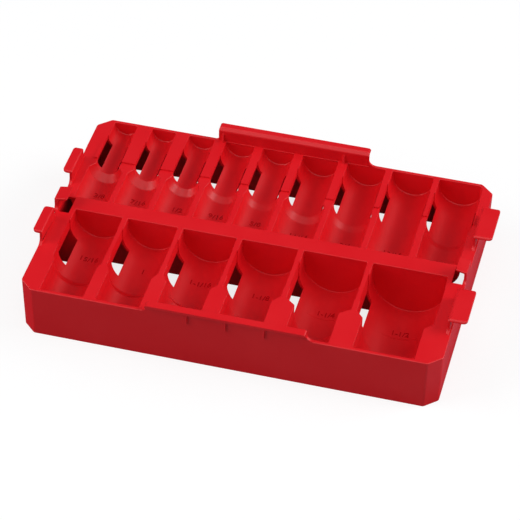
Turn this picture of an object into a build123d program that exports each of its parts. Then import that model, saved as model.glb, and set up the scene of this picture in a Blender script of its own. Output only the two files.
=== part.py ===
from build123d import *
import os
from dataclasses import dataclass
from math import cos, radians, sin

# Socket organiser tray, in millimetres. Fifteen sockets lie on their sides in two rows of
# half-round cradles. The tray is described with X from its left wall, Y from its front wall
# and Z from the surface it stands on. export() then puts the origin under the middle of the
# whole footprint, side tabs and rear hook included.

# ---- Outer casing ----
TRAY_LENGTH = 300.0          # left to right, over the outer walls
TRAY_DEPTH = 197.3           # front to rear, over the outer walls
TRAY_HEIGHT = 41.2           # standing surface to the main deck
REAR_STEP = 1.2              # the deck behind the step stands this much higher
CORNER_LENGTH = 9.2          # corner chamfer along X
CORNER_DEPTH = 8.7           # corner chamfer along Y
CORNER_ROUND = 3.0           # softened edges of the corner chamfers
SKIRT_LEAN = 0.9             # the outer wall leans in by this much at its foot
OUTER_WALL = 2.4             # wall at the deck; it thins towards the foot
DECK_THICKNESS = 2.0
RIM_EASE = 0.6               # eased outer edge of the deck
EDGE_EASE = 0.4              # eased edges of the hook and the keepers

# ---- Socket cradles ----
CRADLE_WALL = 2.0            # two of these, back to back, are one divider
MIDDLE_RAIL = 13.6           # deck between the two rows
SHOULDER_LENGTH = 5.8        # cone between the socket end and the drive end
PROUD = 12.2                 # a socket's widest end stands this far above the main deck
STEP_FROM_SHOULDER = 4.3     # the deck steps up this far behind the rear row's shoulders
RAMP_LENGTH = 27.0           # the side margins climb the step over this length

MOUTH_EASE = 0.4             # eased edge of the deck round each hollow
END_EASE = 0.7               # where a hollow's bowl and sides meet its end walls

# ---- Windows in the cradle walls, where the two halves of the mould meet ----
WINDOW_RELIEF = 0.5          # the side is thinner by this much from the window up


@dataclass
class Cradle:
    """One socket's place: its size, and the widths of its two ends."""

    size: str
    socket_width: float
    drive_width: float
    on_base: bool = False

    @property
    def width(self):
        return max(self.socket_width, self.drive_width)

    @property
    def axis_z(self):
        """Height of the socket's axis over the standing surface."""
        if self.on_base:
            return CRADLE_WALL + self.width / 2
        return TRAY_HEIGHT + PROUD - self.width / 2


@dataclass
class Row:
    """A row of cradles, from left to right."""

    cradles: tuple
    front_y: float           # front end of the hollow
    drive_length: float      # the drive end lies towards the front
    window_start: float      # behind the shoulder
    window_end: float        # ahead of the row's rear end
    window_top: float        # below the socket's axis
    window_foot: float       # below the socket's axis
    open_at_front: bool      # closed there by the casing's own wall

    @property
    def shoulder_y(self):
        return self.front_y + self.drive_length

    @property
    def socket_y(self):
        return self.shoulder_y + SHOULDER_LENGTH

    @property
    def windows_y(self):
        """Where the row's windows begin and end."""
        rear_y = self.front_y + CRADLE_LENGTH
        return self.socket_y + self.window_start, rear_y - self.window_end

    def centres(self):
        """The X of each cradle's axis, with the row centred in the tray."""
        divider = 2 * CRADLE_WALL
        total = sum(c.width for c in self.cradles) + divider * (len(self.cradles) - 1)
        left = (TRAY_LENGTH - total) / 2
        middles = []
        for cradle in self.cradles:
            middles.append(left + cradle.width / 2)
            left += cradle.width + divider
        return middles


CRADLE_LENGTH = (TRAY_DEPTH - 2 * OUTER_WALL - MIDDLE_RAIL) / 2
DRIVE_SMALL = 25.4           # takes the drive end of the five smallest sockets
DRIVE_MEDIUM = 30.6          # takes the next four
DRIVE_LARGE = 31.5           # takes the front row's, but for its largest

REAR_ROW = Row(
    cradles=(
        Cradle("3_8", 17.6, DRIVE_SMALL),
        Cradle("7_16", 18.2, DRIVE_SMALL),
        Cradle("1_2", 19.6, DRIVE_SMALL),
        Cradle("9_16", 21.8, DRIVE_SMALL),
        Cradle("5_8", 23.4, DRIVE_SMALL),
        Cradle("11_16", 26.6, DRIVE_MEDIUM),
        Cradle("3_4", 28.6, DRIVE_MEDIUM),
        Cradle("13_16", 31.0, DRIVE_MEDIUM),
        Cradle("7_8", 32.6, DRIVE_MEDIUM),
    ),
    front_y=OUTER_WALL + CRADLE_LENGTH + MIDDLE_RAIL,
    drive_length=35.2,
    window_start=3.4,
    window_end=16.85,
    window_top=1.5,
    window_foot=7.9,
    open_at_front=False,
)
FRONT_ROW = Row(
    cradles=(
        Cradle("15_16", 35.3, DRIVE_LARGE),
        Cradle("1", 37.2, DRIVE_LARGE),
        Cradle("1_1_16", 39.4, DRIVE_LARGE),
        Cradle("1_1_8", 41.2, DRIVE_LARGE),
        Cradle("1_1_4", 46.2, DRIVE_LARGE),
        Cradle("1_1_2", 54.0, 43.0, on_base=True),
    ),
    front_y=OUTER_WALL,
    drive_length=31.6,
    window_start=10.7,
    window_end=13.15,
    window_top=3.2,
    window_foot=12.4,
    open_at_front=True,
)

# ---- Web under the front row ----
WEB_FROM_RAIL = 2.6          # ahead of the front row's rear end
WEB_THICKNESS = 2.0
WEB_DRAFT = 0.4              # thinner at its foot, in all

# ---- Front and rear lips, which hook one tray to the next ----
LIP_LENGTH = 114.0
LIP_ROUND = 1.8              # top corners
LIP_FLARE_LEFT = 2.0         # concave foot at each end
LIP_FLARE_RIGHT = 5.0
HOOK_HEIGHT = 11.2           # rear lip over the rear deck
HOOK_REACH = 4.9             # behind the rear wall
HOOK_BEVEL = 2.2
HOOK_THICKNESS = 2.3
BEAD_HEIGHT = 5.8            # front lip over the main deck
BEAD_REACH = 1.5             # ahead of the front wall
BEAD_DEPTH = 6.0
BEAD_THICKNESS = 2.2
RIB_THICKNESS = 1.4
BEAD_RIB_PITCH = 27.5
BEAD_RIB_REACH = 1.2
BEAD_RIB_DROP = 4.5          # below the main deck
HOOK_RIB_SPOTS = (3.5, 95.3)  # from the lip's left end
HOOK_RIB_HEIGHT = 7.5
HOOK_RIB_REACH = 2.6

# ---- Side tabs, and the keeper hook between each pair ----
TAB_THICKNESS = 2.1
TAB_FLARE = 4.0
TAB_CORNER = 3.0


@dataclass
class Tab:
    """An upright on one side wall whose top turns outwards."""

    name: str
    side: str
    from_middle: float       # its front end, behind the middle of the side wall
    width: float
    height: float
    reach: float             # of the turned top, outside the wall
    inset: float             # of the upright, inside the wall's outer face
    shoulder: float          # round between the upright and the top

    @property
    def front_y(self):
        return TRAY_DEPTH / 2 + self.from_middle


TABS = (
    Tab("left_front_tab", "left", -49.05, 28.5, 10.2, 5.0, 0.0, 1.4),
    Tab("left_rear_tab", "left", 20.75, 28.5, 10.2, 5.0, 0.0, 1.4),
    Tab("right_front_tab", "right", -63.25, 35.0, 10.8, 10.4, 1.0, 1.9),
    Tab("right_rear_tab", "right", 27.55, 35.0, 10.8, 10.4, 1.0, 1.9),
)


@dataclass
class Keeper:
    """An upright on one side wall whose top turns inwards over a hole in the deck."""

    name: str
    side: str
    bulge: float             # of the upright, outside the wall
    upright: float           # its thickness
    from_middle: float = -9.85
    width: float = 14.4
    reach: float = 8.0       # inside the wall's outer face
    outer_height: float = 8.6
    inner_height: float = 10.4

    @property
    def front_y(self):
        return TRAY_DEPTH / 2 + self.from_middle


KEEPERS = (
    Keeper("left_keeper", "left", 1.5, 3.0),
    Keeper("right_keeper", "right", 0.0, 2.0),
)
KEEPER_FLARE = 3.0
KEEPER_HOLE_LENGTH = 17.5
KEEPER_HOLE_LEAD = 3.0       # the hole starts this far ahead of the keeper
KEEPER_HOLE_REACH = 10.0     # inside the wall's outer face

DECK_FOOT = TRAY_HEIGHT - DECK_THICKNESS
REAR_DECK = TRAY_HEIGHT + REAR_STEP
REAR_DECK_FOOT = REAR_DECK - DECK_THICKNESS
STEP_Y = REAR_ROW.socket_y + STEP_FROM_SHOULDER
LIP_LEFT = (TRAY_LENGTH - LIP_LENGTH) / 2 - 1.0
LIP_RIGHT = LIP_LEFT + LIP_LENGTH
CLEAR = 60.0                 # longer than any cut that has to pass right through

YZ_SECTION = Plane(origin=(0, 0, 0), x_dir=(0, 1, 0), z_dir=(1, 0, 0))
XZ_SECTION = Plane(origin=(0, 0, 0), x_dir=(1, 0, 0), z_dir=(0, -1, 0))


def box(low, high):
    """A block between two corners."""
    size = [b - a for a, b in zip(low, high)]
    middle = [(a + b) / 2 for a, b in zip(low, high)]
    return Pos(*middle) * Box(*size)


def quarter(centre, radius, start, end):
    """An arc about centre, from one angle to another in degrees."""
    turn = [radians(a) for a in (start, (start + end) / 2, end)]
    return ThreePointArc(*[(centre[0] + radius * cos(a), centre[1] + radius * sin(a)) for a in turn])


def casing_outline(inset, z):
    """The tray's plan with its softened corner chamfers, drawn inset from the outer walls."""
    length = TRAY_LENGTH - 2 * inset
    depth = TRAY_DEPTH - 2 * inset
    corners = []
    for sx, sy in ((-1, -1), (1, -1), (1, 1), (-1, 1)):
        along = (sx * (length / 2 - CORNER_LENGTH), sy * depth / 2)
        across = (sx * length / 2, sy * (depth / 2 - CORNER_DEPTH))
        corners += [across, along] if sx * sy > 0 else [along, across]
    plan = make_face(Polyline(*corners[1:], corners[0], close=True))
    plan = fillet(plan.vertices(), CORNER_ROUND)
    return Pos(TRAY_LENGTH / 2, TRAY_DEPTH / 2, z) * plan


def casing_inside():
    """The space inside the outer wall, from far below the tray to far above it."""
    plan = offset(casing_outline(0, -CLEAR), -OUTER_WALL)
    return extrude(plan, 3 * CLEAR, dir=(0, 0, 1))


def cradle_section(middle, y, width, axis_z, foot_gap, top_z):
    """A U of straight sides over a half round, upright at y."""
    half = width / 2 + foot_gap
    sides = Polyline((middle - half, axis_z), (middle - half, top_z), (middle + half, top_z),
                     (middle + half, axis_z))
    bowl = quarter((middle, axis_z), half, 180, 360)
    return Pos(0, y, 0) * (XZ_SECTION * make_face(sides + bowl))


def cradle_trough(row, cradle, middle, wall, top_z, front_y, rear_y):
    """The stepped trough of one cradle, offset by wall: drive end, shoulder and socket end."""
    spots = ((front_y, cradle.drive_width), (row.shoulder_y, cradle.drive_width),
             (row.socket_y, cradle.socket_width), (rear_y, cradle.socket_width))
    sections = [cradle_section(middle, y, width, cradle.axis_z, wall, top_z) for y, width in spots]
    drive_end = extrude(sections[0], row.shoulder_y - front_y, dir=(0, 1, 0))
    shoulder = loft(sections[1:3], ruled=True)
    socket_end = extrude(sections[2], rear_y - row.socket_y, dir=(0, 1, 0))
    return drive_end + shoulder + socket_end


def cradle_hollow(row, cradle, middle):
    """The space that one socket lies in, carried up past the deck."""
    rear_y = row.front_y + CRADLE_LENGTH
    top_z = TRAY_HEIGHT + CLEAR
    trough = cradle_trough(row, cradle, middle, 0, top_z, row.front_y, rear_y)
    ends = trough.faces().sort_by(Axis.Y)
    rims = [edge for end in (ends[0], ends[-1]) for edge in end.edges() if edge.center().Z < top_z]
    return chamfer(rims, END_EASE) & casing_inside()


def cradle_windows(row, cradle, middle):
    """The window in each side of a cradle: its bowl is cut straight down, and its side is left."""
    half = cradle.socket_width / 2
    cut = (half ** 2 - row.window_foot ** 2) ** 0.5
    start, end = row.windows_y
    top = cradle.axis_z - row.window_top
    window = box((middle + cut, start, -CLEAR), (middle + half + 2 * CRADLE_WALL, end, top))
    return window + mirror(window, Plane.YZ.offset(middle))


def window_relief(row, cradle, middle):
    """What is taken off both sides of a hollow from its windows up to the deck."""
    half = cradle.socket_width / 2 + WINDOW_RELIEF
    start, end = row.windows_y
    return box((middle - half, start, cradle.axis_z - row.window_top),
               (middle + half, end, TRAY_HEIGHT + CLEAR))


def cradle_shell(row, cradle, middle):
    """One cradle under the deck, with its end wall and the window in each side."""
    front_y = row.front_y - (0 if row.open_at_front else CRADLE_WALL)
    rear_y = row.front_y + CRADLE_LENGTH + (CRADLE_WALL if row.open_at_front else 0)
    shell = cradle_trough(row, cradle, middle, CRADLE_WALL, TRAY_HEIGHT + CLEAR, front_y, rear_y)
    shell -= box((0, 0, DECK_FOOT), (TRAY_LENGTH, STEP_Y, TRAY_HEIGHT + 2 * CLEAR))
    shell -= box((0, 0, REAR_DECK_FOOT), (TRAY_LENGTH, TRAY_DEPTH, TRAY_HEIGHT + 2 * CLEAR))
    shell &= casing_inside()
    shell -= cradle_hollow(row, cradle, middle)
    return shell - cradle_windows(row, cradle, middle) - window_relief(row, cradle, middle)


def every_cradle():
    """Each cradle with its row and the X of its axis."""
    return [(row, cradle, middle)
            for row in (REAR_ROW, FRONT_ROW)
            for cradle, middle in zip(row.cradles, row.centres())]


def skirt():
    """The outer wall, leaning in towards its open foot."""
    foot = casing_outline(SKIRT_LEAN, 0)
    top = casing_outline(0, REAR_DECK_FOOT)
    outside = loft([foot, top], ruled=True)
    under_main_deck = box((0, 0, DECK_FOOT), (TRAY_LENGTH, STEP_Y, TRAY_HEIGHT))
    return outside - casing_inside() - under_main_deck


def deck_plate(foot_z, top_z, from_y, to_y):
    """A band of the deck with its outer edge eased, before anything is cut from it."""
    plate = extrude(casing_outline(0, foot_z), top_z - foot_z, dir=(0, 0, 1))
    rim = plate.faces().sort_by(Axis.Z)[-1].edges()
    plate = chamfer(rim, RIM_EASE)
    return plate & box((-CLEAR, from_y, 0), (TRAY_LENGTH + CLEAR, to_y, TRAY_HEIGHT + CLEAR))


def ease_mouths(band, top_z):
    """A band of the deck with its edge eased round every hollow that opens through it."""
    for row, cradle, middle in every_cradle():
        reach = cradle.width / 2 + 0.1
        rear_y = row.front_y + CRADLE_LENGTH
        edges = [edge for edge in band.edges().filter_by_position(Axis.Z, top_z - 0.01, top_z + 0.01)
                 if abs(edge.center().X - middle) < reach
                 and row.front_y - 0.1 < edge.center().Y < rear_y + 0.1
                 and abs(edge.center().Y - STEP_Y) > 0.1]
        if edges:
            band = chamfer(edges, MOUTH_EASE)
    return band


def cross_web():
    """The full-height wall under the front row, cut to the undersides of its cradles."""
    rear_y = FRONT_ROW.front_y + CRADLE_LENGTH - WEB_FROM_RAIL
    front_y = rear_y - WEB_THICKNESS
    lean = WEB_DRAFT / 2
    section = make_face(Polyline((front_y, DECK_FOOT), (rear_y, DECK_FOOT), (rear_y - lean, 0),
                                 (front_y + lean, 0), close=True))
    centres, cradles = FRONT_ROW.centres(), FRONT_ROW.cradles
    left = centres[0] - cradles[0].width / 2 - CRADLE_WALL
    right = centres[-1] + cradles[-1].width / 2 + CRADLE_WALL
    web = extrude(Pos(left, 0, 0) * (YZ_SECTION * section), right - left, dir=(1, 0, 0))
    for row, cradle, middle in every_cradle():
        if row is FRONT_ROW:
            web -= cradle_trough(row, cradle, middle, CRADLE_WALL, TRAY_HEIGHT + CLEAR,
                                 row.front_y, row.front_y + CRADLE_LENGTH)
    return web


def deck():
    """The top plate: a main band, and a rear one a step higher, open over every hollow."""
    hollows = [cradle_hollow(*spot) for spot in every_cradle()]
    main = deck_plate(DECK_FOOT, TRAY_HEIGHT, 0, STEP_Y) - hollows
    rear = deck_plate(REAR_DECK_FOOT, REAR_DECK, STEP_Y, TRAY_DEPTH) - hollows
    plate = ease_mouths(main, TRAY_HEIGHT) + ease_mouths(rear, REAR_DECK)
    plate -= [window_relief(*spot) for spot in every_cradle()]
    plate -= [keeper_hole(keeper) for keeper in KEEPERS]
    return plate - margin_ramp("left") - margin_ramp("right")


def margin_ramp(side):
    """What is taken off the rear deck beside its cradles, where a side margin climbs the step."""
    margin = (TRAY_LENGTH - REAR_ROW.centres()[-1] - REAR_ROW.cradles[-1].width / 2)
    margin = margin + 1.0 if side == "left" else margin - 1.5
    wedge = Polyline((STEP_Y, TRAY_HEIGHT), (STEP_Y + RAMP_LENGTH, REAR_DECK), (STEP_Y, REAR_DECK),
                     close=True)
    start = 0 if side == "left" else TRAY_LENGTH - margin
    return extrude(Pos(start, 0, 0) * (YZ_SECTION * make_face(wedge)), margin, dir=(1, 0, 0))


def keeper_hole(keeper):
    """The hole in the deck that a keeper's top reaches over."""
    start = keeper.front_y - KEEPER_HOLE_LEAD
    hole = box((OUTER_WALL, start, 0), (KEEPER_HOLE_REACH, start + KEEPER_HOLE_LENGTH, CLEAR))
    return on_side(hole, keeper.side)


def on_side(shape, side):
    """A shape drawn for the left wall, or its mirror image on the right one."""
    if side == "left":
        return shape
    return mirror(shape, Plane.YZ.offset(TRAY_LENGTH / 2))


def flared_front(low, high, foot_z, base_z, top_z, flares, corner):
    """An upright's outline: rounded top corners, and concave flares where it meets the deck."""
    left, right = flares
    edges = Polyline((low - left, base_z), (low - left, foot_z), (high + right, foot_z),
                     (high + right, base_z))
    edges += quarter((high + right, base_z + right), right, 270, 180)
    edges += Line((high, base_z + right), (high, top_z - corner))
    edges += quarter((high - corner, top_z - corner), corner, 0, 90)
    edges += Line((high - corner, top_z), (low + corner, top_z))
    edges += quarter((low + corner, top_z - corner), corner, 90, 180)
    edges += Line((low, top_z - corner), (low, base_z + left))
    edges += quarter((low - left, base_z + left), left, 0, -90)
    return make_face(edges)


def eased(piece):
    """A piece with its edges eased wherever they stand clear of the deck."""
    clear = [edge for edge in piece.edges() if edge.bounding_box().min.Z > REAR_DECK + 0.1]
    return chamfer(clear, EDGE_EASE)


def rounded_plan(tip_x, front_y, width):
    """An upright block reaching in from a tab's tip, with the two corners at the tip rounded."""
    plan = Pos(tip_x + CLEAR / 2, front_y + width / 2) * Rectangle(CLEAR, width)
    tips = plan.vertices().group_by(Axis.X)[0]
    return extrude(fillet(tips, TAB_CORNER), CLEAR, dir=(0, 0, 1))


def side_tab(tab):
    """One side tab, standing through the deck on its side wall."""
    top = TRAY_HEIGHT + tab.height
    outer = tab.inset
    inner = tab.inset + TAB_THICKNESS
    profile = Polyline((inner, DECK_FOOT), (outer, DECK_FOOT), (outer, top - TAB_THICKNESS),
                       (-tab.reach, top - TAB_THICKNESS), (-tab.reach, top),
                       (inner - tab.shoulder, top))
    profile += quarter((inner - tab.shoulder, top - tab.shoulder), tab.shoulder, 90, 0)
    profile += Polyline((inner, top - tab.shoulder), (inner, DECK_FOOT))
    start = tab.front_y - TAB_FLARE
    bent = extrude(Pos(0, start, 0) * (XZ_SECTION * make_face(profile)),
                   tab.width + 2 * TAB_FLARE, dir=(0, 1, 0))
    front = flared_front(tab.front_y, tab.front_y + tab.width, DECK_FOOT, TRAY_HEIGHT, top,
                         (TAB_FLARE, TAB_FLARE), tab.shoulder)
    sheet = extrude(Pos(-CLEAR, 0, 0) * (YZ_SECTION * front), 2 * CLEAR, dir=(1, 0, 0))
    turned = rounded_plan(-tab.reach, tab.front_y, tab.width)
    upright = box((outer, start, 0), (inner, start + tab.width + 2 * TAB_FLARE, CLEAR))
    return on_side(bent & sheet & (turned + upright), tab.side)


def side_keeper(keeper):
    """One keeper hook, whose top slopes down outwards and reaches in over its hole."""
    outer = -keeper.bulge
    inner = outer + keeper.upright
    outer_top = TRAY_HEIGHT + keeper.outer_height
    inner_top = TRAY_HEIGHT + keeper.inner_height
    slope = (inner_top - outer_top) / (keeper.reach - outer)
    under = outer_top - TAB_THICKNESS
    profile = Polyline((outer, DECK_FOOT), (outer, outer_top), (keeper.reach, inner_top),
                       (keeper.reach, inner_top - TAB_THICKNESS),
                       (inner, under + slope * keeper.upright), (inner, DECK_FOOT), close=True)
    start = keeper.front_y - KEEPER_FLARE
    hook = extrude(Pos(0, start, 0) * (XZ_SECTION * make_face(profile)),
                   keeper.width + 2 * KEEPER_FLARE, dir=(0, 1, 0))
    front = flared_front(keeper.front_y, keeper.front_y + keeper.width, DECK_FOOT, TRAY_HEIGHT,
                         inner_top + 1, (KEEPER_FLARE, KEEPER_FLARE), 1.0)
    sheet = extrude(Pos(-CLEAR, 0, 0) * (YZ_SECTION * front), 2 * CLEAR, dir=(1, 0, 0))
    return on_side(eased(hook & sheet), keeper.side)


def rear_lip():
    """The rear wall's hook, with the two ribs that brace its front face."""
    wall_y = TRAY_DEPTH - OUTER_WALL
    top = REAR_DECK + HOOK_HEIGHT
    profile = Polyline((wall_y, REAR_DECK_FOOT), (wall_y, top - HOOK_BEVEL),
                       (wall_y + HOOK_BEVEL, top), (TRAY_DEPTH + HOOK_REACH, top),
                       (TRAY_DEPTH + HOOK_REACH, top - HOOK_THICKNESS),
                       (TRAY_DEPTH, top - HOOK_THICKNESS), (TRAY_DEPTH, REAR_DECK_FOOT), close=True)
    lip = eased(lip_from_profile(profile, REAR_DECK_FOOT, REAR_DECK, top))
    for spot in HOOK_RIB_SPOTS:
        x = LIP_LEFT + spot
        brace = Polyline((wall_y, REAR_DECK), (wall_y - HOOK_RIB_REACH, REAR_DECK),
                         (wall_y, REAR_DECK + HOOK_RIB_HEIGHT), close=True)
        start = x - RIB_THICKNESS / 2
        lip += extrude(Pos(start, 0, 0) * (YZ_SECTION * make_face(brace)), RIB_THICKNESS,
                       dir=(1, 0, 0))
    return lip


def front_lip():
    """The front wall's bead, with three ribs under its overhang."""
    top = TRAY_HEIGHT + BEAD_HEIGHT
    under = top - BEAD_THICKNESS
    profile = Polyline((0, DECK_FOOT), (0, under), (-BEAD_REACH, under), (-BEAD_REACH, top),
                       (BEAD_DEPTH - BEAD_REACH, top), (BEAD_DEPTH - BEAD_REACH, under),
                       (OUTER_WALL, under), (OUTER_WALL, DECK_FOOT), close=True)
    lip = lip_from_profile(profile, DECK_FOOT, TRAY_HEIGHT, top)
    middle = (LIP_LEFT + LIP_RIGHT) / 2
    for offset in (-BEAD_RIB_PITCH, 0, BEAD_RIB_PITCH):
        x = middle + offset
        half = RIB_THICKNESS / 2
        lip += box((x - half, -BEAD_RIB_REACH, TRAY_HEIGHT - BEAD_RIB_DROP), (x + half, 0, under))
    return lip


def lip_from_profile(profile, foot_z, base_z, top_z):
    """A lip of the given section, with flared ends and rounded top corners."""
    start = LIP_LEFT - LIP_FLARE_LEFT
    length = LIP_LENGTH + LIP_FLARE_LEFT + LIP_FLARE_RIGHT
    run = extrude(Pos(start, 0, 0) * (YZ_SECTION * make_face(profile)), length, dir=(1, 0, 0))
    front = flared_front(LIP_LEFT, LIP_RIGHT, foot_z, base_z, top_z,
                         (LIP_FLARE_LEFT, LIP_FLARE_RIGHT), LIP_ROUND)
    sheet = extrude(Pos(0, -CLEAR, 0) * (XZ_SECTION * front), TRAY_DEPTH + 2 * CLEAR, dir=(0, 1, 0))
    return run & sheet


def build():
    """Every named piece of the tray, in tray coordinates."""
    pieces = {}
    for row, cradle, middle in every_cradle():
        row_name = "rear" if row is REAR_ROW else "front"
        pieces[f"{row_name}_cradle_{cradle.size}"] = cradle_shell(row, cradle, middle)
    pieces["cross_web"] = cross_web()
    pieces["rear_lip"] = rear_lip()
    pieces["front_lip"] = front_lip()
    for tab in TABS:
        pieces[tab.name] = side_tab(tab)
    for keeper in KEEPERS:
        pieces[keeper.name] = side_keeper(keeper)

    standing = [pieces[name] for name in ("rear_lip", "front_lip")]
    standing += [pieces[item.name] for item in TABS + KEEPERS]
    pieces["deck"] = deck() - standing
    pieces["skirt"] = skirt() - standing
    return pieces


def export(pieces):
    """Write each piece with the origin under the middle of the whole footprint."""
    bounds = Compound(children=list(pieces.values())).bounding_box()
    middle = bounds.center()
    os.makedirs("parts", exist_ok=True)
    for name, piece in pieces.items():
        solids = piece.solids()
        print(name, len(solids), round(sum(s.volume for s in solids) / 1000, 2), "cm3")
        export_step(Pos(-middle.X, -middle.Y, 0) * Compound(solids), f"parts/{name}.step")


export(build())
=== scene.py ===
import logging
from dataclasses import dataclass, field
from enum import Enum
from math import cos, radians, sin

import bmesh
import bpy
from mathutils import Matrix, Vector
from mathutils.bvhtree import BVHTree


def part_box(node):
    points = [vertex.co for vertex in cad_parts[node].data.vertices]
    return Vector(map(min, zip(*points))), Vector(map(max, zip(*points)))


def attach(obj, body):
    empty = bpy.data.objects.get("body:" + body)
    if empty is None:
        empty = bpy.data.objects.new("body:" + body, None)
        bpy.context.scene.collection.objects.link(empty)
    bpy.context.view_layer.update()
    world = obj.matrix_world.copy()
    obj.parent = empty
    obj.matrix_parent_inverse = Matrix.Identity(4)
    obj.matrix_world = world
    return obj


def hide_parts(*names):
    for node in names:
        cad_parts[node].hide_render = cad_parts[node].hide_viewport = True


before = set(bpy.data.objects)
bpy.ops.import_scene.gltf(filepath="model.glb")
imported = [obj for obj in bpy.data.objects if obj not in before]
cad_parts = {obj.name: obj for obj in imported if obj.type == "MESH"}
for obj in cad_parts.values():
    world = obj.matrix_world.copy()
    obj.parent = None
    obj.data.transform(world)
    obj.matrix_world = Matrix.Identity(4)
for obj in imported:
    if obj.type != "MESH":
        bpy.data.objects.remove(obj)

# A socket organiser tray, moulded in one piece from red plastic. The frame is in metres.
MM = 0.001
BODY = "root"
PHOTO_SIDE = 520                       # pixels
WELD = 0.001 * MM                      # points closer than this are one
SINK = 0.02 * MM                       # keeps a face just clear of one that it would lie in

log = logging.getLogger("tray")


# ---------------------------------------------------------------- colours and node trees


def linear(colour: str) -> tuple[float, float, float, float]:
    """Turn an sRGB hex colour into the linear one that a shader takes.

    Args:
        colour: Six hex digits, with or without a leading hash.

    Returns:
        Red, green, blue and alpha, each from 0 to 1.
    """
    digits = colour.lstrip("#")
    channels = [int(digits[i:i + 2], 16) / 255 for i in (0, 2, 4)]
    flat = [c / 12.92 if c <= 0.04045 else ((c + 0.055) / 1.055) ** 2.4 for c in channels]
    return flat[0], flat[1], flat[2], 1.0


def add_node(tree: bpy.types.NodeTree, kind: str, links: dict[str | int, object] | None = None,
             **settings: object) -> bpy.types.Node:
    """Add one node, set what it holds and link its inputs.

    Args:
        tree: The node tree that the node goes into.
        kind: The node's type, such as "ShaderNodeBump".
        links: For each input, by name or number, an output socket to link or a value to set.
        **settings: The node's own properties.

    Returns:
        The new node.
    """
    node = tree.nodes.new(kind)
    for name, value in settings.items():
        setattr(node, name, value)
    for name, value in (links or {}).items():
        if isinstance(value, bpy.types.NodeSocket):
            tree.links.new(value, node.inputs[name])
        else:
            node.inputs[name].default_value = value
    return node


# ---------------------------------------------------------------- finishes


@dataclass(frozen=True)
class MouldedPlastic:
    """Injection-moulded ABS, coloured right through, from a mould with a fine sparked grain."""

    name: str
    colour: str
    shade: str                         # the same pigment where the melt ran a little cooler
    roughness: float
    grain_mm: float = 0.45             # the real grain is finer; this is as coarse as shows
    grain_depth_mm: float = 0.012
    grain_strength: float = 0.35
    flow_mm: float = 38.0              # length of the faint clouding that the melt leaves
    duller: float = 0.06               # how far the clouding takes the gloss down
    glossier: float = 0.05             # and up
    ior: float = 1.52

    def material(self) -> bpy.types.Material:
        """Build the material: one pigment, faint clouding, and a grain that breaks up the gloss.

        Returns:
            The new material.
        """
        plastic = bpy.data.materials.new(self.name)
        plastic.use_nodes = True
        plastic.diffuse_color = linear(self.colour)
        tree = plastic.node_tree
        tree.nodes.clear()
        place = add_node(tree, "ShaderNodeTexCoord").outputs["Object"]
        clouds = add_node(tree, "ShaderNodeTexNoise", {
            "Vector": place, "Scale": 1 / (self.flow_mm * MM), "Detail": 3.0, "Roughness": 0.55})
        pigment = add_node(tree, "ShaderNodeMix", {
            "Factor": clouds.outputs["Fac"], 6: linear(self.shade), 7: linear(self.colour)},
            data_type="RGBA")
        grain = add_node(tree, "ShaderNodeTexNoise", {
            "Vector": place, "Scale": 1 / (self.grain_mm * MM), "Detail": 4.0, "Roughness": 0.6})
        gloss = add_node(tree, "ShaderNodeMapRange", {
            "Value": clouds.outputs["Fac"], "From Min": 0.3, "From Max": 0.7,
            "To Min": self.roughness - self.glossier, "To Max": self.roughness + self.duller})
        relief = add_node(tree, "ShaderNodeBump", {
            "Height": grain.outputs["Fac"], "Strength": self.grain_strength,
            "Distance": self.grain_depth_mm * MM})
        skin = add_node(tree, "ShaderNodeBsdfPrincipled", {
            "Base Color": pigment.outputs[2], "Roughness": gloss.outputs["Result"],
            "Normal": relief.outputs["Normal"], "IOR": self.ior, "Specular IOR Level": 0.5})
        add_node(tree, "ShaderNodeOutputMaterial", {"Surface": skin.outputs["BSDF"]})
        return plastic


# ABS from a spark-eroded mould: deep red, with a soft satin sheen and no sharp reflections.
RED_ABS = MouldedPlastic("red_abs_sparked", "#DC0816", "#D60714", roughness=0.43)
# The same ABS where the mould is engraved and smooth: glossier, and painted darker, which is
# painted shade for the shading along the letters' strokes, so the marks read.
RED_ABS_POLISHED_PAINTED_SHADE = MouldedPlastic("red_abs_polished_painted_shade", "#BE0510", "#B8040F", roughness=0.22,
                                  grain_depth_mm=0.002)


# ---------------------------------------------------------------- the moulding


class Edges(Enum):
    """How the free edges of a piece are finished."""

    EASED = "already eased in the piece; only the shading runs round them"
    ROUNDED = "rounded here, as a finger feels them"


def finish_of(name: str) -> Edges:
    """Say how a named piece's edges are finished: only the tabs still have square ones."""
    return Edges.ROUNDED if name.endswith("_tab") else Edges.EASED


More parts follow.
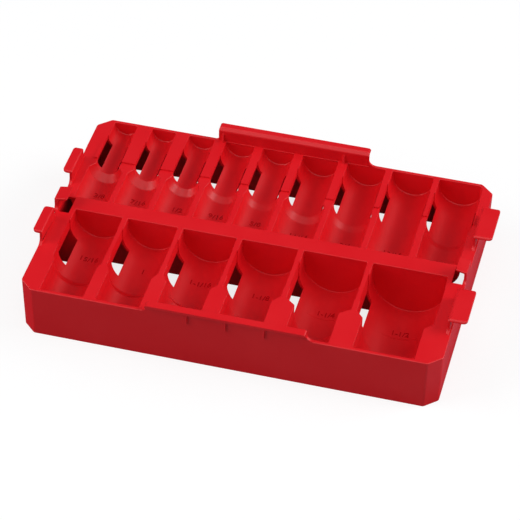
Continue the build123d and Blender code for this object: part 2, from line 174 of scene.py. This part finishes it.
@dataclass
class Moulding:
    """The whole tray: one moulding, carried by its named pieces."""

    plastic: bpy.types.Material
    edge_round: float = 0.5 * MM
    edge_segments: int = 3
    edge_degrees: float = 32.0         # an outer edge that turns by more gets rounded
    curve_degrees: float = 9.0         # facets of one curve turn by less than this
    ease_degrees: tuple[float, float] = (38.0, 52.0)    # an eased edge's turn on each side
    ease_share: float = 0.1            # its area beside its neighbour's
    flat_degrees: float = 0.4          # facets of one flat turn by less than this
    touch: float = 0.03 * MM
    trees: dict[str, BVHTree] = field(default_factory=dict)

    def survey(self) -> None:
        """Index every piece's surface, so that the seams between pieces can be told."""
        for name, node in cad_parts.items():
            mesh = bmesh.new()
            mesh.from_mesh(node.data)
            self.trees[name] = BVHTree.FromBMesh(mesh)
            mesh.free()

    def on_seam(self, name: str, point: Vector) -> bool:
        """Say whether a point of a piece lies on one of its neighbours."""
        return any(other != name and tree.find_nearest(point, self.touch)[0] is not None
                   for other, tree in self.trees.items())

    def copy(self, name: str) -> bpy.types.Object:
        """Make a welded copy of a piece, with its free edges marked where it gets them rounded.

        Args:
            name: The piece's name in the frame.

        Returns:
            The new object.
        """
        shell = bmesh.new()
        shell.from_mesh(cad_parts[name].data)
        bmesh.ops.remove_doubles(shell, verts=shell.verts, dist=WELD)
        if finish_of(name) is Edges.ROUNDED:
            bmesh.ops.dissolve_limit(shell, angle_limit=radians(self.flat_degrees),
                                     verts=shell.verts, edges=shell.edges, delimit={"NORMAL"})
            bmesh.ops.connect_verts_concave(shell, faces=shell.faces)
            weights = shell.edges.layers.float.new("bevel_weight_edge")
            for edge in shell.edges:
                sharp = edge.is_convex and edge.calc_face_angle(0) > radians(self.edge_degrees)
                middle = (edge.verts[0].co + edge.verts[1].co) / 2
                edge[weights] = float(sharp and not self.on_seam(name, middle))
        mesh = bpy.data.meshes.new(name + "_moulded")
        shell.to_mesh(mesh)
        shell.free()
        piece = bpy.data.objects.new(name + "_moulded", mesh)
        bpy.context.scene.collection.objects.link(piece)
        return piece

    def round_edges(self, piece: bpy.types.Object) -> None:
        """Round the marked edges of a piece.

        Args:
            piece: A copy whose edges carry bevel weights.
        """
        bevel = piece.modifiers.new("edges", "BEVEL")
        bevel.limit_method = "WEIGHT"
        bevel.width = self.edge_round
        bevel.segments = self.edge_segments
        bevel.use_clamp_overlap = False
        graph = bpy.context.evaluated_depsgraph_get()
        mesh = bpy.data.meshes.new_from_object(piece.evaluated_get(graph))
        piece.modifiers.clear()
        old, piece.data = piece.data, mesh
        bpy.data.meshes.remove(old)

    def flats(self, shell: bmesh.types.BMesh) -> tuple[list[int], list[float]]:
        """Group the faces that lie in one plane and touch.

        Args:
            shell: The piece's mesh.

        Returns:
            The group of each face, and the area of each group.
        """
        group = [-1] * len(shell.faces)
        areas: list[float] = []
        level = radians(self.flat_degrees)
        for first in shell.faces:
            if group[first.index] >= 0:
                continue
            group[first.index] = len(areas)
            todo, area = [first], 0.0
            while todo:
                face = todo.pop()
                area += face.calc_area()
                for edge in face.edges:
                    for other in edge.link_faces:
                        if group[other.index] < 0 and face.normal.angle(other.normal, 0) < level:
                            group[other.index] = len(areas)
                            todo.append(other)
            areas.append(area)
        return group, areas

    def runs_on(self, turn: float, one: float, other: float) -> bool:
        """Say whether the shading runs on from one face to the next.

        Args:
            turn: The angle between them.
            one: The area of the first one's flat.
            other: The area of the second one's flat.

        Returns:
            True on one curve, and from an eased edge to the faces that it joins.
        """
        low, high = (radians(angle) for angle in self.ease_degrees)
        eased = low < turn < high and min(one, other) < self.ease_share * max(one, other)
        return turn < radians(self.curve_degrees) or eased

    def run_shading_round(self, piece: bpy.types.Object) -> None:
        """Give broad flats their own shading, so that the narrow faces between them look round.

        Args:
            piece: The object whose corner normals are set.
        """
        mesh = piece.data
        shell = bmesh.new()
        shell.from_mesh(mesh)
        shell.normal_update()
        shell.faces.ensure_lookup_table()
        group, areas = self.flats(shell)
        normals = []
        for face in shell.faces:
            own = areas[group[face.index]]
            for loop in face.loops:
                total = Vector()
                for other in loop.vert.link_faces:
                    area = areas[group[other.index]]
                    if self.runs_on(face.normal.angle(other.normal, 0), own, area):
                        total += other.normal * area
                normals.append(total.normalized())
        shell.free()
        for polygon in mesh.polygons:
            polygon.use_smooth = True
        mesh.normals_split_custom_set(normals)

    def build(self) -> None:
        """Make and dress the piece that stands for each piece of the frame."""
        self.survey()
        for name in sorted(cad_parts):
            piece = self.copy(name)
            if finish_of(name) is Edges.ROUNDED:
                self.round_edges(piece)
            self.run_shading_round(piece)
            piece.data.materials.clear()
            piece.data.materials.append(self.plastic)
            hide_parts(name)
            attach(piece, BODY)
            log.info("piece %s: %d faces", piece.name, len(piece.data.polygons))


# ---------------------------------------------------------------- sockets' places and small walls


CRADLE_WALL = 2.0 * MM


@dataclass(frozen=True)
class Place:
    """One socket's place: its cradle, and the widths of its two ends in millimetres."""

    label: str
    cradle: str
    socket_width: float
    drive_width: float

    @property
    def size(self) -> str:
        """The size, as it stands in the names of the pieces."""
        return self.cradle.split("_cradle_")[1]

    @property
    def axis(self) -> tuple[float, float]:
        """The X and Z of the socket's axis."""
        low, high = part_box(self.cradle)
        widest = max(self.socket_width, self.drive_width) * MM
        return (low.x + high.x) / 2, low.z + CRADLE_WALL + widest / 2


REAR_PLACES = [
    Place("3/8", "rear_cradle_3_8", 17.6, 25.4),
    Place("7/16", "rear_cradle_7_16", 18.2, 25.4),
    Place("1/2", "rear_cradle_1_2", 19.6, 25.4),
    Place("9/16", "rear_cradle_9_16", 21.8, 25.4),
    Place("5/8", "rear_cradle_5_8", 23.4, 25.4),
    Place("11/16", "rear_cradle_11_16", 26.6, 30.6),
    Place("3/4", "rear_cradle_3_4", 28.6, 30.6),
    Place("13/16", "rear_cradle_13_16", 31.0, 30.6),
    Place("7/8", "rear_cradle_7_8", 32.6, 30.6),
]
FRONT_PLACES = [
    Place("15/16", "front_cradle_15_16", 35.3, 31.5),
    Place("1", "front_cradle_1", 37.2, 31.5),
    Place("1-1/16", "front_cradle_1_1_16", 39.4, 31.5),
    Place("1-1/8", "front_cradle_1_1_8", 41.2, 31.5),
    Place("1-1/4", "front_cradle_1_1_4", 46.2, 31.5),
    Place("1-1/2", "front_cradle_1_1_2", 54.0, 43.0),
]


@dataclass
class Ribwork:
    """Small walls of the moulding beside its cradles."""

    plastic: bpy.types.Material
    sill_foot: float = 7.9 * MM        # the windows' foot under the axis
    sill_edge: float = 3.0 * MM        # the sills' outer edge, in from the cradle's side
    sill_rear: float = 16.85 * MM      # the windows' rear end, from the cradle's
    sill_length: float = 28.2 * MM
    sill_steps: int = 8                # facets across a sill
    sill_count: int = 5                # the smallest cradles have them
    bead: float = 0.45 * MM            # how far the deck's edge stands ahead of the rear lip
    web_rear: float = 12.55 * MM       # the margin web's rear face, from the cradle's rear end
    web_thickness: float = 2.0 * MM
    web_steps: int = 15                # facets of the web's curved side, over a quarter turn
    wall: float = 2.4 * MM
    crease_degrees: float = 30.0       # the shading breaks at edges that turn by more

    def prism(self, name: str, loop: list[Vector], run: Vector) -> None:
        """Extrude a closed outline.

        Args:
            name: The new piece's name.
            loop: The outline's corners, counter-clockwise as seen from where it runs to.
            run: How far, and which way, it is extruded.
        """
        shell = bmesh.new()
        near = [shell.verts.new(point) for point in loop]
        far = [shell.verts.new(point + run) for point in loop]
        shell.faces.new(list(reversed(near)))
        shell.faces.new(far)
        for i, corner in enumerate(near):
            after = (i + 1) % len(near)
            shell.faces.new([corner, near[after], far[after], far[i]])
        bmesh.ops.recalc_face_normals(shell, faces=shell.faces)
        mesh = bpy.data.meshes.new(name)
        shell.to_mesh(mesh)
        shell.free()
        for polygon in mesh.polygons:
            polygon.use_smooth = True
        mesh.set_sharp_from_angle(angle=radians(self.crease_degrees))
        mesh.materials.append(self.plastic)
        piece = bpy.data.objects.new(name, mesh)
        bpy.context.scene.collection.objects.link(piece)
        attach(piece, BODY)
        log.info("piece %s: %d faces", name, len(mesh.polygons))

    def sill(self, place: Place, side: int) -> None:
        """Carry a small cradle's bowl on to its window's edge, on one side.

        Args:
            place: The cradle's place.
            side: 1 for its right side, -1 for its left side.
        """
        x, z = place.axis
        inner = place.socket_width / 2 * MM
        start = (inner ** 2 - self.sill_foot ** 2) ** 0.5 - SINK
        end = inner - self.sill_edge
        spots = [start + (end - start) * i / self.sill_steps for i in range(self.sill_steps + 1)]
        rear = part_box(place.cradle)[1].y - self.sill_rear
        loop = [Vector((x + side * a, rear - self.sill_length, z - (inner ** 2 - a ** 2) ** 0.5))
                for a in spots]
        outer = inner + CRADLE_WALL
        loop += [Vector((x + side * a, rear - self.sill_length, z - (outer ** 2 - a ** 2) ** 0.5))
                 for a in reversed(spots)]
        where = "right" if side > 0 else "left"
        self.prism(f"sill_{place.size}_{where}", loop, Vector((0, self.sill_length, 0)))

    def lip_bead(self) -> None:
        """Make the deck's thin edge along the foot of the rear lip."""
        low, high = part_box("rear_lip")
        wall_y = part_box(REAR_PLACES[3].cradle)[1].y
        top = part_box("deck")[1].z - SINK
        bead = self.bead
        profile = [(0.1 * MM, top - 1.2 * bead), (-0.6 * bead, top - 1.2 * bead),
                   (-bead, top - 0.8 * bead), (-bead, top - 0.3 * bead), (-0.7 * bead, top),
                   (0.1 * MM, top)]
        start = low.x + 2.0 * MM
        loop = [Vector((start, wall_y + y, z)) for y, z in profile]
        self.prism("rear_lip_bead", loop, Vector((high.x - 5.0 * MM - start, 0, 0)))

    def margin_web(self) -> None:
        """Stand a web under the left margin, behind the front row's first window."""
        place = FRONT_PLACES[0]
        low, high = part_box(place.cradle)
        x, z = place.axis
        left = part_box("skirt")[0].x + self.wall
        front = high.y - self.web_rear - self.web_thickness
        radius = place.socket_width / 2 * MM + CRADLE_WALL / 2
        loop = [Vector((left, front, 0)), Vector((x, front, 0))]
        turns = [radians(90 * i / self.web_steps) for i in range(self.web_steps + 1)]
        loop += [Vector((x - radius * sin(turn), front, z - radius * cos(turn))) for turn in turns]
        loop += [Vector((x - radius, front, high.z)), Vector((left, front, high.z))]
        self.prism("left_margin_web", loop, Vector((0, self.web_thickness, 0)))

    def build(self) -> None:
        """Make every small wall."""
        for place in REAR_PLACES[:self.sill_count]:
            for side in (-1, 1):
                self.sill(place, side)
        self.lip_bead()
        self.margin_web()


# ---------------------------------------------------------------- size marks


@dataclass
class SizeMark:
    """A size in inches, standing a hair proud of its cradle's floor."""

    place: Place
    bowl: float                        # the bowl's radius there
    from_end: float                    # from the cradle's rearmost point to the mark's middle
    plate: tuple[float, float] = (0.0, 0.0)    # width and depth of the low plate under it

    def centre(self) -> Vector:
        """Find the floor under the mark's middle."""
        x, z = self.place.axis
        return Vector((x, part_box(self.place.cradle)[1].y - self.from_end, z - self.bowl))


@dataclass
class SizeMarks:
    """Every mark of the tray, set by one Geometry Nodes tree that bends it to its bowl."""

    # The letters' plastic: glossier, and darker as painted shade for the shading of their strokes.
    polished_and_painted_shade: bpy.types.Material       # the letters'
    plastic: bpy.types.Material        # the plates'
    letter: float = 6.4 * MM
    relief: float = 0.4 * MM
    root: float = 0.12 * MM            # sunk into the floor, so no gap shows
    plate_relief: float = 0.25 * MM
    plate_facets: int = 16             # across a plate, so that it bends with its bowl

    def sockets(self, tree: bpy.types.NodeTree, kinds: dict[str, str]) -> bpy.types.Node:
        """Give a tree its named inputs and its result.

        Args:
            tree: The Geometry Nodes tree.
            kinds: The socket type of each named input.

        Returns:
            The node that holds the inputs.
        """
        for name, kind in kinds.items():
            tree.interface.new_socket(name, in_out="INPUT", socket_type=kind)
        tree.interface.new_socket("Mark", in_out="OUTPUT", socket_type="NodeSocketGeometry")
        return tree.nodes.new("NodeGroupInput")

    def raise_and_bend(self, tree: bpy.types.NodeTree, given: bpy.types.Node,
                       flat: bpy.types.NodeSocket) -> None:
        """Thicken a flat outline, close its foot, bend it to the bowl and set it in place.

        Args:
            tree: The Geometry Nodes tree.
            given: The node that holds its inputs.
            flat: The outline's mesh, in the XY plane.
        """
        lifted = add_node(tree, "GeometryNodeExtrudeMesh", {
            "Mesh": flat, "Offset Scale": given.outputs["Relief"], "Individual": False})
        foot = add_node(tree, "GeometryNodeFlipFaces", {"Mesh": flat})
        both = add_node(tree, "GeometryNodeJoinGeometry", {"Geometry": lifted.outputs["Mesh"]})
        tree.links.new(foot.outputs["Mesh"], both.inputs["Geometry"])
        closed = add_node(tree, "GeometryNodeMergeByDistance", {
            "Geometry": both.outputs["Geometry"], "Distance": WELD})
        place = add_node(tree, "GeometryNodeInputPosition")
        parts = add_node(tree, "ShaderNodeSeparateXYZ", {0: place.outputs[0]})
        across = add_node(tree, "ShaderNodeMath", {0: parts.outputs["X"], 1: 2.0},
                          operation="POWER")
        radius = add_node(tree, "ShaderNodeMath", {0: given.outputs["Bowl"], 1: 2.0},
                          operation="POWER")
        left = add_node(tree, "ShaderNodeMath", {0: radius.outputs[0], 1: across.outputs[0]},
                        operation="SUBTRACT")
        height = add_node(tree, "ShaderNodeMath", {0: left.outputs[0]}, operation="SQRT")
        rise = add_node(tree, "ShaderNodeMath", {0: given.outputs["Bowl"], 1: height.outputs[0]},
                        operation="SUBTRACT")
        shift = add_node(tree, "ShaderNodeCombineXYZ", {"Z": rise.outputs[0]})
        bent = add_node(tree, "GeometryNodeSetPosition", {
            "Geometry": closed.outputs["Geometry"], "Offset": shift.outputs[0]})
        moved = add_node(tree, "GeometryNodeTransform", {
            "Geometry": bent.outputs["Geometry"], "Translation": given.outputs["Centre"]})
        real = add_node(tree, "GeometryNodeRealizeInstances", {
            "Geometry": moved.outputs["Geometry"]})
        dressed = add_node(tree, "GeometryNodeSetMaterial", {
            "Geometry": real.outputs["Geometry"], "Material": given.outputs["Plastic"]})
        out = tree.nodes.new("NodeGroupOutput")
        tree.links.new(dressed.outputs["Geometry"], out.inputs["Mark"])

    def letters_tree(self) -> bpy.types.NodeTree:
        """Build the tree that makes one mark from its words.

        Returns:
            The Geometry Nodes tree.
        """
        tree = bpy.data.node_groups.new("size_letters", "GeometryNodeTree")
        given = self.sockets(tree, {
            "Label": "NodeSocketString", "Height": "NodeSocketFloat",
            "Relief": "NodeSocketFloat", "Bowl": "NodeSocketFloat",
            "Centre": "NodeSocketVector", "Plastic": "NodeSocketMaterial"})
        words = add_node(tree, "GeometryNodeStringToCurves", {
            "String": given.outputs["Label"], "Size": given.outputs["Height"]},
            align_x="CENTER", align_y="MIDDLE")
        outline = add_node(tree, "GeometryNodeRealizeInstances", {
            "Geometry": words.outputs["Curve Instances"]})
        filled = add_node(tree, "GeometryNodeFillCurve", {"Curve": outline.outputs["Geometry"]})
        self.raise_and_bend(tree, given, filled.outputs["Mesh"])
        return tree

    def plate_tree(self) -> bpy.types.NodeTree:
        """Build the tree that makes the low plate under a mark.

        Returns:
            The Geometry Nodes tree.
        """
        tree = bpy.data.node_groups.new("size_plate", "GeometryNodeTree")
        given = self.sockets(tree, {
            "Width": "NodeSocketFloat", "Depth": "NodeSocketFloat",
            "Relief": "NodeSocketFloat", "Bowl": "NodeSocketFloat",
            "Centre": "NodeSocketVector", "Plastic": "NodeSocketMaterial"})
        grid = add_node(tree, "GeometryNodeMeshGrid", {
            "Size X": given.outputs["Width"], "Size Y": given.outputs["Depth"],
            "Vertices X": self.plate_facets + 1, "Vertices Y": 2})
        self.raise_and_bend(tree, given, grid.outputs["Mesh"])
        return tree

    def cast(self, name: str, tree: bpy.types.NodeTree, values: dict[str, object]) -> None:
        """Run a tree once and keep its result as a plain piece.

        Args:
            name: The new piece's name.
            tree: The Geometry Nodes tree.
            values: The value of each named input.
        """
        piece = bpy.data.objects.new(name, bpy.data.meshes.new(name))
        bpy.context.scene.collection.objects.link(piece)
        maker = piece.modifiers.new("maker", "NODES")
        maker.node_group = tree
        for item in tree.interface.items_tree:
            if item.in_out == "INPUT":
                maker[item.identifier] = values[item.name]
        graph = bpy.context.evaluated_depsgraph_get()
        piece.data = bpy.data.meshes.new_from_object(piece.evaluated_get(graph))
        piece.modifiers.clear()
        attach(piece, BODY)
        log.info("piece %s: %d faces", name, len(piece.data.polygons))

    def build(self, marks: list[SizeMark]) -> None:
        """Set every mark, and the plates under those that have one.

        Args:
            marks: The tray's marks.
        """
        letters, plates = self.letters_tree(), self.plate_tree()
        for mark in marks:
            name = "size_" + mark.place.size
            floor = mark.centre() - Vector((0, 0, self.root))
            width, depth = mark.plate
            if width:
                self.cast(name + "_plate", plates, {
                    "Width": width, "Depth": depth, "Relief": self.plate_relief + self.root,
                    "Bowl": mark.bowl, "Centre": floor, "Plastic": self.plastic})
                floor = floor + Vector((0, 0, self.plate_relief))
            # The letters take the glossier plastic whose darker colour is painted shade.
            self.cast(name + "_mark", letters, {
                "Label": mark.place.label, "Height": self.letter, "Relief": self.relief + self.root,
                "Bowl": mark.bowl, "Centre": floor, "Plastic": self.polished_and_painted_shade})


REAR_MARK = 70.5 * MM                  # from the rear row's rear end
FRONT_MARK = 28.5 * MM                 # from the front row's rear end
PLATE = (25.0 * MM, 9.5 * MM)          # under the two largest sizes
MARKS = [SizeMark(place, place.drive_width / 2 * MM, REAR_MARK) for place in REAR_PLACES]
MARKS += [SizeMark(place, place.socket_width / 2 * MM, FRONT_MARK) for place in FRONT_PLACES[:4]]
MARKS += [SizeMark(place, place.socket_width / 2 * MM, FRONT_MARK, PLATE)
          for place in FRONT_PLACES[4:]]


# ---------------------------------------------------------------- room


def direction(azimuth: float, elevation: float) -> Vector:
    """Point away from the tray.

    Args:
        azimuth: Degrees from straight in front, towards the right.
        elevation: Degrees over the floor.

    Returns:
        A unit vector.
    """
    turn, lift = radians(azimuth), radians(elevation)
    return Vector((sin(turn) * cos(lift), -cos(turn) * cos(lift), sin(lift)))


@dataclass(frozen=True)
class Lamp:
    """A soft square lamp that faces the tray."""

    name: str
    azimuth: float                     # degrees from straight in front, towards the right
    elevation: float                   # degrees over the floor
    distance: float                    # metres, as is its size
    size: float
    watts: float


LAMPS = [
    Lamp("left", azimuth=-70, elevation=30, distance=4.0, size=3.0, watts=114.0),
    Lamp("right", azimuth=106, elevation=28, distance=4.0, size=3.0, watts=138.0),
    Lamp("front", azimuth=20, elevation=50, distance=3.5, size=2.6, watts=25.0),
    Lamp("overhead", azimuth=0, elevation=85, distance=3.0, size=2.4, watts=18.0),
]


@dataclass
class Studio:
    """A pale floor under soft light, and a camera at the photograph's angle."""

    floor_size: float = 12.0
    floor_white: float = 1.02          # the strength of its own white, as the camera sees it
    floor_share: float = 0.8           # that white's share; the rest takes the tray's shadow
    # Painted reflection: to the right of this the floor seen in the gloss turns paler, which paints
    # a sheen on the right wall.
    painted_sheen_from: float = 0.142          # to the right of this the gloss sees a paler floor
    painted_sheen_to: float = 0.165
    room_light: float = 0.1
    camera_azimuth: float = 13.531     # degrees from straight in front, towards the right
    camera_elevation: float = 40.932
    camera_roll: float = 1.398
    camera_distance: float = 1.871309
    aim: tuple[float, float, float] = (0.00258, -0.02804, 0.0418)
    focal_pixels: float = 2658.09
    sensor: float = 36.0

    def floor(self) -> None:
        """Lay the floor: white paper for the camera, grey for stray light, and a painted reflection
        for the gloss.

        That painted reflection is dark, so the walls keep their colour full, as it is in the
        photograph, and its paler part to the right paints a sheen on the right wall.
        """
        half = self.floor_size / 2
        mesh = bpy.data.meshes.new("floor")
        square = [(-half, -half, 0), (half, -half, 0), (half, half, 0), (-half, half, 0)]
        mesh.from_pydata(square, [], [(0, 1, 2, 3)])
        floor = bpy.data.objects.new("floor", mesh)
        bpy.context.scene.collection.objects.link(floor)
        paper = bpy.data.materials.new("white_paper_with_painted_reflection")
        paper.use_nodes = True
        tree = paper.node_tree
        tree.nodes.clear()
        grey = add_node(tree, "ShaderNodeBsdfDiffuse", {"Color": linear("#A5A5A5")})
        place = add_node(tree, "ShaderNodeTexCoord").outputs["Object"]
        across = add_node(tree, "ShaderNodeSeparateXYZ", {0: place}).outputs["X"]
        # Painted reflection: only the gloss sees this part of the floor, a dark blue-grey that
        # keeps sheen off the walls, turning paler to the right to paint a sheen on the right wall.
        painted_sheen_mask = add_node(tree, "ShaderNodeMapRange", {
            "Value": across, "From Min": self.painted_sheen_from, "From Max": self.painted_sheen_to})
        painted_reflection_tone = add_node(tree, "ShaderNodeMix", {
            "Factor": painted_sheen_mask.outputs["Result"], 6: linear("#3C424E"), 7: linear("#7C8696")},
            data_type="RGBA")
        painted_reflection = add_node(tree, "ShaderNodeBsdfDiffuse", {"Color": painted_reflection_tone.outputs[2]})
        pale = add_node(tree, "ShaderNodeBsdfDiffuse", {"Color": linear("#F6F6F6")})
        glow = add_node(tree, "ShaderNodeEmission", {
            "Color": linear("#FFFFFF"), "Strength": self.floor_white})
        white = add_node(tree, "ShaderNodeMixShader", {
            0: self.floor_share, 1: pale.outputs["BSDF"], 2: glow.outputs["Emission"]})
        ray = add_node(tree, "ShaderNodeLightPath")
        stray_light_and_painted_reflection = add_node(tree, "ShaderNodeMixShader", {
            0: ray.outputs["Is Glossy Ray"], 1: grey.outputs["BSDF"], 2: painted_reflection.outputs["BSDF"]})
        mixed = add_node(tree, "ShaderNodeMixShader", {
            0: ray.outputs["Is Camera Ray"], 1: stray_light_and_painted_reflection.outputs["Shader"],
            2: white.outputs["Shader"]})
        add_node(tree, "ShaderNodeOutputMaterial", {"Surface": mixed.outputs["Shader"]})
        mesh.materials.append(paper)

    def world(self) -> None:
        """Fill the room with plain light."""
        world = bpy.data.worlds.new("room")
        bpy.context.scene.world = world
        world.use_nodes = True
        tree = world.node_tree
        tree.nodes.clear()
        glow = add_node(tree, "ShaderNodeBackground", {
            "Color": linear("#E6EEFF"), "Strength": self.room_light})
        add_node(tree, "ShaderNodeOutputWorld", {"Surface": glow.outputs["Background"]})

    def lamp(self, lamp: Lamp) -> None:
        """Hang one lamp.

        Args:
            lamp: What it is and where it hangs.
        """
        light = bpy.data.lights.new(lamp.name, "AREA")
        light.size = lamp.size
        light.energy = lamp.watts
        holder = bpy.data.objects.new(lamp.name, light)
        bpy.context.scene.collection.objects.link(holder)
        away = direction(lamp.azimuth, lamp.elevation)
        holder.location = away * lamp.distance
        holder.rotation_euler = away.to_track_quat("Z", "Y").to_euler()

    def camera(self) -> None:
        """Set the camera where the photograph was taken from."""
        back = direction(self.camera_azimuth, self.camera_elevation)
        data = bpy.data.cameras.new("camera")
        data.sensor_width = self.sensor
        data.lens = self.focal_pixels / PHOTO_SIDE * self.sensor
        data.clip_end = 50.0
        camera = bpy.data.objects.new("camera", data)
        bpy.context.scene.collection.objects.link(camera)
        level = back.to_track_quat("Z", "Y").to_matrix()
        rolled = level @ Matrix.Rotation(radians(self.camera_roll), 3, "Z")
        camera.matrix_world = (Matrix.Translation(Vector(self.aim) + back * self.camera_distance)
                               @ rolled.to_4x4())
        bpy.context.scene.camera = camera

    def build(self) -> None:
        """Set up the floor, the lights and the camera."""
        self.floor()
        self.world()
        for lamp in LAMPS:
            self.lamp(lamp)
        self.camera()
        bpy.context.scene.view_settings.view_transform = "Standard"


def main() -> None:
    """Build the tray and the room."""
    logging.basicConfig(level=logging.INFO, format="%(message)s")
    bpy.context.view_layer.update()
    plastic = RED_ABS.material()
    Moulding(plastic).build()
    Ribwork(plastic).build()
    SizeMarks(RED_ABS_POLISHED_PAINTED_SHADE.material(), plastic).build(MARKS)
    Studio().build()


if __name__ == "__main__":
    main()
